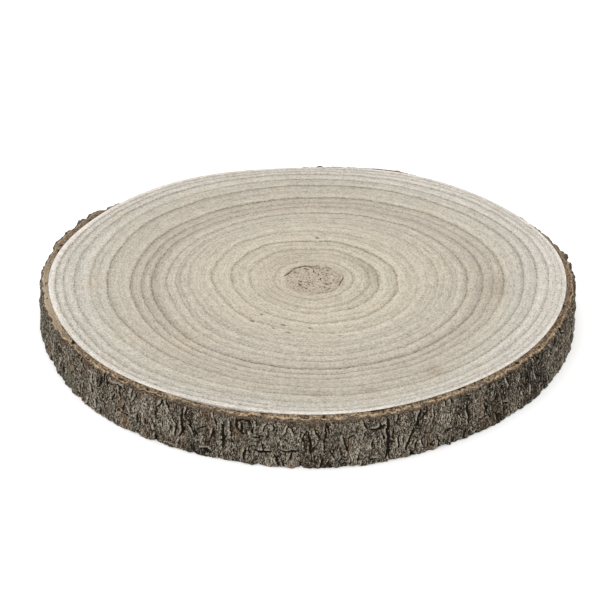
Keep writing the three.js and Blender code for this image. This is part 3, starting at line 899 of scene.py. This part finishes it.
def bark_material():
    """Weathered bark: grey-brown fibrous cork, with painted highlight on the lips of its cracks and on
    raised flecks, painted shade near black in the cracks and nicks, and rust and green-grey patches; tan and
    granular on the rim, with a pale line where the tan ends, and painted shade in the rim's hollows, in the
    gap to the wood, on the inner wall and under the foot."""
    make, shader, material = new_material("bark")
    place = make.node("ShaderNodeTexCoord", {}, {}, output="Object")
    hollow = make.attribute("hollow")
    lip = make.attribute("lip")
    rim = make.attribute("rim")
    across_rim = make.attribute("across_rim")

    swirl_inputs = {"Vector": place, "Scale": 1 / (6 * MM), "Detail": 1}
    swirl = make.node("ShaderNodeTexNoise", {}, swirl_inputs, output=1)
    sway = {0: swirl, 1: (2 * MM, 2 * MM, 2 * MM), 2: place}
    swayed = make.node("ShaderNodeVectorMath", {"operation": "MULTIPLY_ADD"}, sway)
    upright = make.node("ShaderNodeVectorMath", {"operation": "MULTIPLY"}, {0: swayed, 1: (1, 1, 0.26)})
    fibre = make.noise(upright, 0.45 * MM, 1, 0.6)
    strand = make.noise(upright, 2.6 * MM, 2, 0.6)
    speckle = make.noise(place, 0.8 * MM, 1, 0.6)
    nick = make.noise(upright, 0.9 * MM, 1)
    patch = make.noise(place, 13 * MM, 3)
    stain = make.noise(upright, 9 * MM, 3)

    stops = (
        (0.0, colour(20, 16, 12)),
        (0.25, colour(58, 51, 43)),
        (0.5, colour(100, 92, 80)),
        (0.75, colour(138, 129, 115)),
        (1.0, colour(180, 171, 155)),
    )
    light = make.attribute("tone") + 3.2 * fibre + 0.2 * strand + 1.3 * speckle
    cork = make.node("ShaderNodeValToRGB", {"stops": stops}, {0: light})
    cork = cork.toward(colour(98, 98, 86), 0.35 * patch.between(0.02, 0.2))
    cork = cork.toward(colour(112, 82, 58), 0.45 * stain.between(0.04, 0.2))
    cork = cork.toward(colour(72, 53, 37), 0.55 * make.attribute("brown"))
    # Painted shade and highlight: near black in the small nicks that the bump sinks, pale on the raised
    # flecks.
    cork = cork.toward(colour(166, 157, 141), 0.5 * (0 - nick).between(0.14, 0.22))
    cork = cork.toward(colour(20, 15, 11), 0.85 * nick.between(0.14, 0.2))
    # Painted highlight: the lips on the left of the cracks are paled, as if they catch the light.
    cork = cork.toward(colour(190, 181, 165), 0.8 * lip * speckle.between(-0.25, 0.05))
    # Painted shade: the cracks and the scar's rim crack are darkened near black.
    crack = 1 - (make.attribute("crack_off") + 1.2 * speckle).between(0.9, 1.7)
    cork = cork.toward(colour(18, 12, 7), 0.95 * crack)
    # Painted shade: darkened where the mesh carries painted shade, most under the foot.
    cork = cork.toward(colour(16, 12, 9), 0.9 * hollow.between(0.2, 0.75))

    grit = make.noise(place, 1.2 * MM, 2, 0.75)
    flat_x = make.node("ShaderNodeSeparateXYZ", {}, {0: place}, output=0)
    flat_y = make.node("ShaderNodeSeparateXYZ", {}, {0: place}, output=1)
    over_rim = {0: flat_x * 0.12, 1: flat_y * 0.12, 2: across_rim * RIM_DEPTH}
    rimwise = make.node("ShaderNodeCombineXYZ", {}, over_rim)
    layer = make.noise(rimwise, 1.0 * MM, 2, 0.6)
    tan_stops = (
        (0.0, colour(42, 32, 24)),
        (0.4, colour(104, 86, 67)),
        (0.65, colour(132, 113, 91)),
        (1.0, colour(176, 155, 128)),
    )
    grain = 0.5 + 2.8 * grit + 1.2 * layer
    tan = make.node("ShaderNodeValToRGB", {"stops": tan_stops}, {0: grain})
    pale = make.attribute("pale")
    tan = tan.toward(colour(182, 166, 143), 0.7 * pale.at_least(0))
    tan = tan.toward(colour(76, 56, 40), 0.28 * (0 - pale).at_least(0))
    tan = tan.toward(colour(104, 72, 48), 0.6 * across_rim.between(0.75, 1.0))
    tan = tan.toward(colour(100, 88, 78), 0.7 * make.attribute("weathered"))
    tan = tan.toward(colour(204, 177, 143), 0.8 * lip * grit.between(-0.2, 0.1))
    # Painted shade on the rim: dark in its gap to the wood and in its low crumbs.
    tan = tan.toward(colour(40, 29, 21), hollow.between(0.15, 0.6))
    bark = cork.toward(tan, rim)

    relief = 0.7 * fibre + 0.5 * speckle + 0.5 * strand - 0.4 * nick
    bump = make.node("ShaderNodeBump", {}, {"Strength": 0.6, "Distance": 0.5 * MM, "Height": relief})
    roughness = 0.9 + 0.1 * speckle
    bark.feeds(shader, "Base Color")
    roughness.feeds(shader, "Roughness")
    bump.feeds(shader, "Normal")
    shader.inputs["Specular IOR Level"].default_value = BARK_SHINE
    return material


bark = bark_ring()
bark.data.materials.append(bark_material())
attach(bark, "root")
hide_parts("bark_ring")

# The stage.
# A wide pale floor under an even white sky, with one broad lamp high over the front left of the slice,
# and the camera in front of it, looking down at about thirty degrees through a long lens.

WHITE = (1, 1, 1, 1)
FLOOR_HALF = 6.0
FLOOR_COLOUR = (0.93, 0.93, 0.93, 1)
FLOOR_ROUGHNESS = 0.9
FLOOR_GLOW = 0.25
SKY_STRENGTH = 1.0
LAMP_SIZE = 2.2
LAMP_PLACE = (-0.5, -0.5, 2.0)
LAMP_POWER = 13.5
CAMERA_DISTANCE = 1.3
CAMERA_RAISED = np.radians(31.14)
CAMERA_PITCH = np.radians(30.6)
CAMERA_YAW = np.radians(0.22)
CAMERA_FOCUS_PIXELS = 2245.0
FRAME_PIXELS = 600

floor_mesh = bpy.data.meshes.new("floor")
floor_corners = [(x * FLOOR_HALF, y * FLOOR_HALF, 0) for x, y in ((-1, -1), (1, -1), (1, 1), (-1, 1))]
floor_mesh.from_pydata(floor_corners, [], [(0, 1, 2, 3)])
floor = bpy.data.objects.new("floor", floor_mesh)
bpy.context.scene.collection.objects.link(floor)
_, floor_shader, floor_material = new_material("pale floor")
floor_shader.inputs["Base Color"].default_value = FLOOR_COLOUR
floor_shader.inputs["Roughness"].default_value = FLOOR_ROUGHNESS
floor_shader.inputs["Emission Color"].default_value = WHITE
floor_shader.inputs["Emission Strength"].default_value = FLOOR_GLOW
floor_mesh.materials.append(floor_material)

world = bpy.data.worlds.new("studio")
world.use_nodes = True
sky = world.node_tree.nodes["Background"]
sky.inputs["Color"].default_value = WHITE
sky.inputs["Strength"].default_value = SKY_STRENGTH
bpy.context.scene.world = world

lamp_data = bpy.data.lights.new("broad lamp", "AREA")
lamp_data.size = LAMP_SIZE
lamp_data.energy = LAMP_POWER
lamp = bpy.data.objects.new("broad lamp", lamp_data)
lamp.location = LAMP_PLACE
lamp.rotation_euler = (-lamp.location).to_track_quat("-Z", "Y").to_euler()
bpy.context.scene.collection.objects.link(lamp)

camera_data = bpy.data.cameras.new("camera")
camera_data.lens = camera_data.sensor_width * CAMERA_FOCUS_PIXELS / FRAME_PIXELS
camera = bpy.data.objects.new("camera", camera_data)
camera.location = (
    0,
    -CAMERA_DISTANCE * np.cos(CAMERA_RAISED),
    CAMERA_DISTANCE * np.sin(CAMERA_RAISED),
)
camera.rotation_euler = (np.pi / 2 - CAMERA_PITCH, 0, CAMERA_YAW)
bpy.context.scene.collection.objects.link(camera)
bpy.context.scene.camera = camera
bpy.context.scene.view_settings.view_transform = "Standard"
